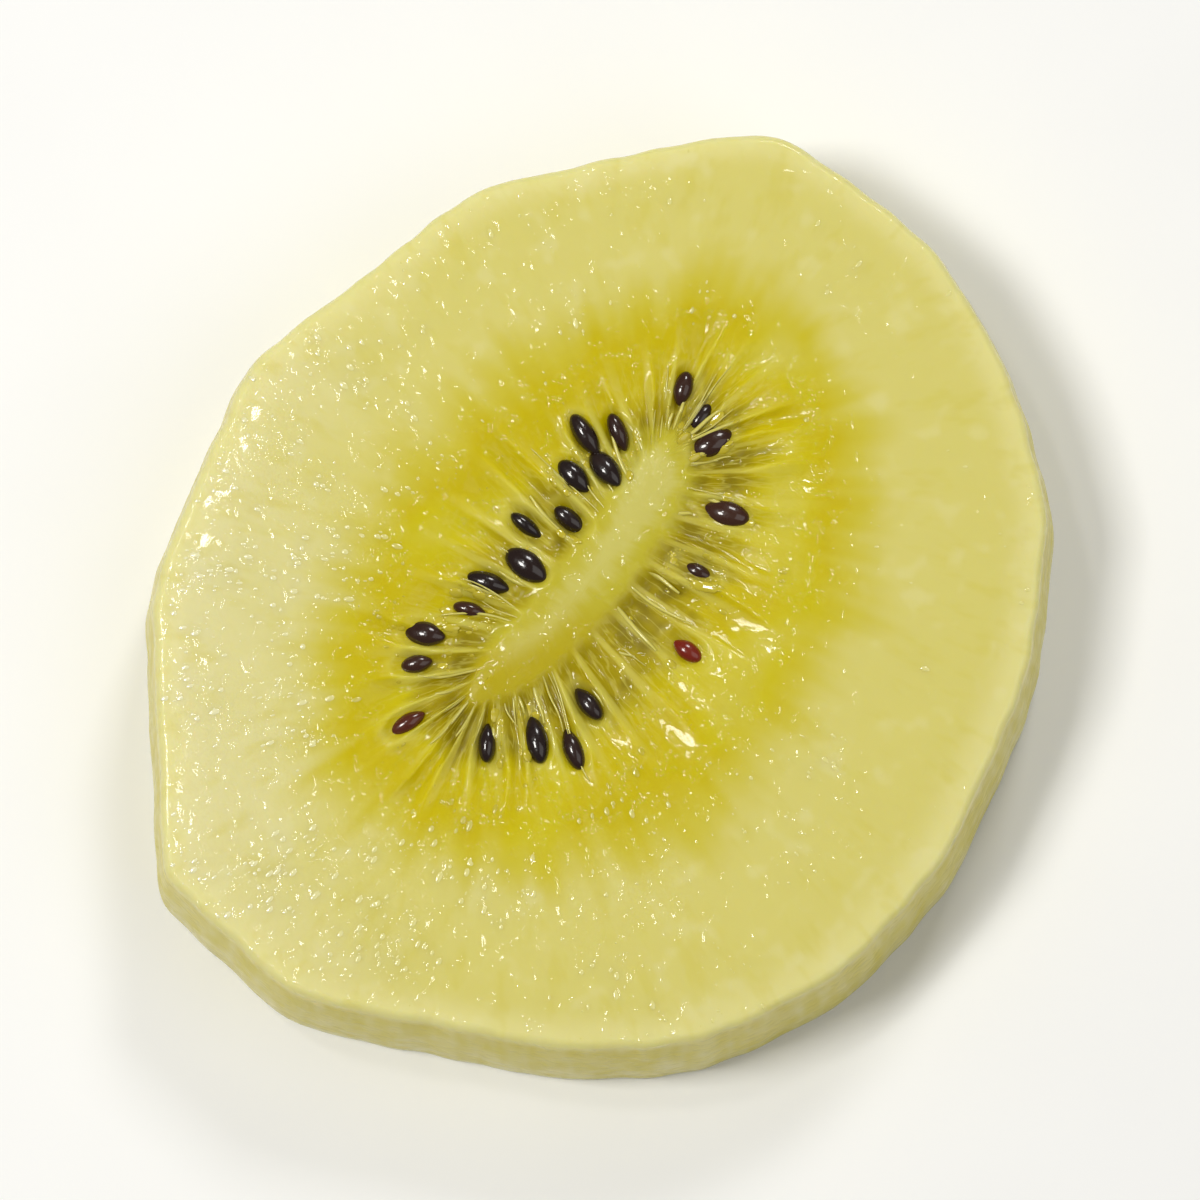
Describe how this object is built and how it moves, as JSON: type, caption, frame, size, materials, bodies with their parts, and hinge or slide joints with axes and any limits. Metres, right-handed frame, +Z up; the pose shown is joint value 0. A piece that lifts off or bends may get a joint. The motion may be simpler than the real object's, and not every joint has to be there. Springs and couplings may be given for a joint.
{
  "type": "golden kiwi fruit slice",
  "caption": "Peeled slice of golden kiwi fruit, cut across, with a long pale core, radiating rays, dark seeds on both cut faces and a knife-flatted wall.",
  "frame": {"origin": "on the resting plane, under the middle of the slice's outline", "axes": "+Z is up, out of the upper cut face; +Y points to the slice's far edge as the picture shows it; +X points to its right edge"},
  "size_m": [0.0466, 0.0482, 0.0095],
  "materials": {
    "flesh": "wet, translucent, pale yellow fruit flesh with a golden ring round the core",
    "seed": "hard glossy brown-black seed coat"
  },
  "bodies": {
    "root": {"kiwi_slice": "flesh"}
  },
  "joints": []
}
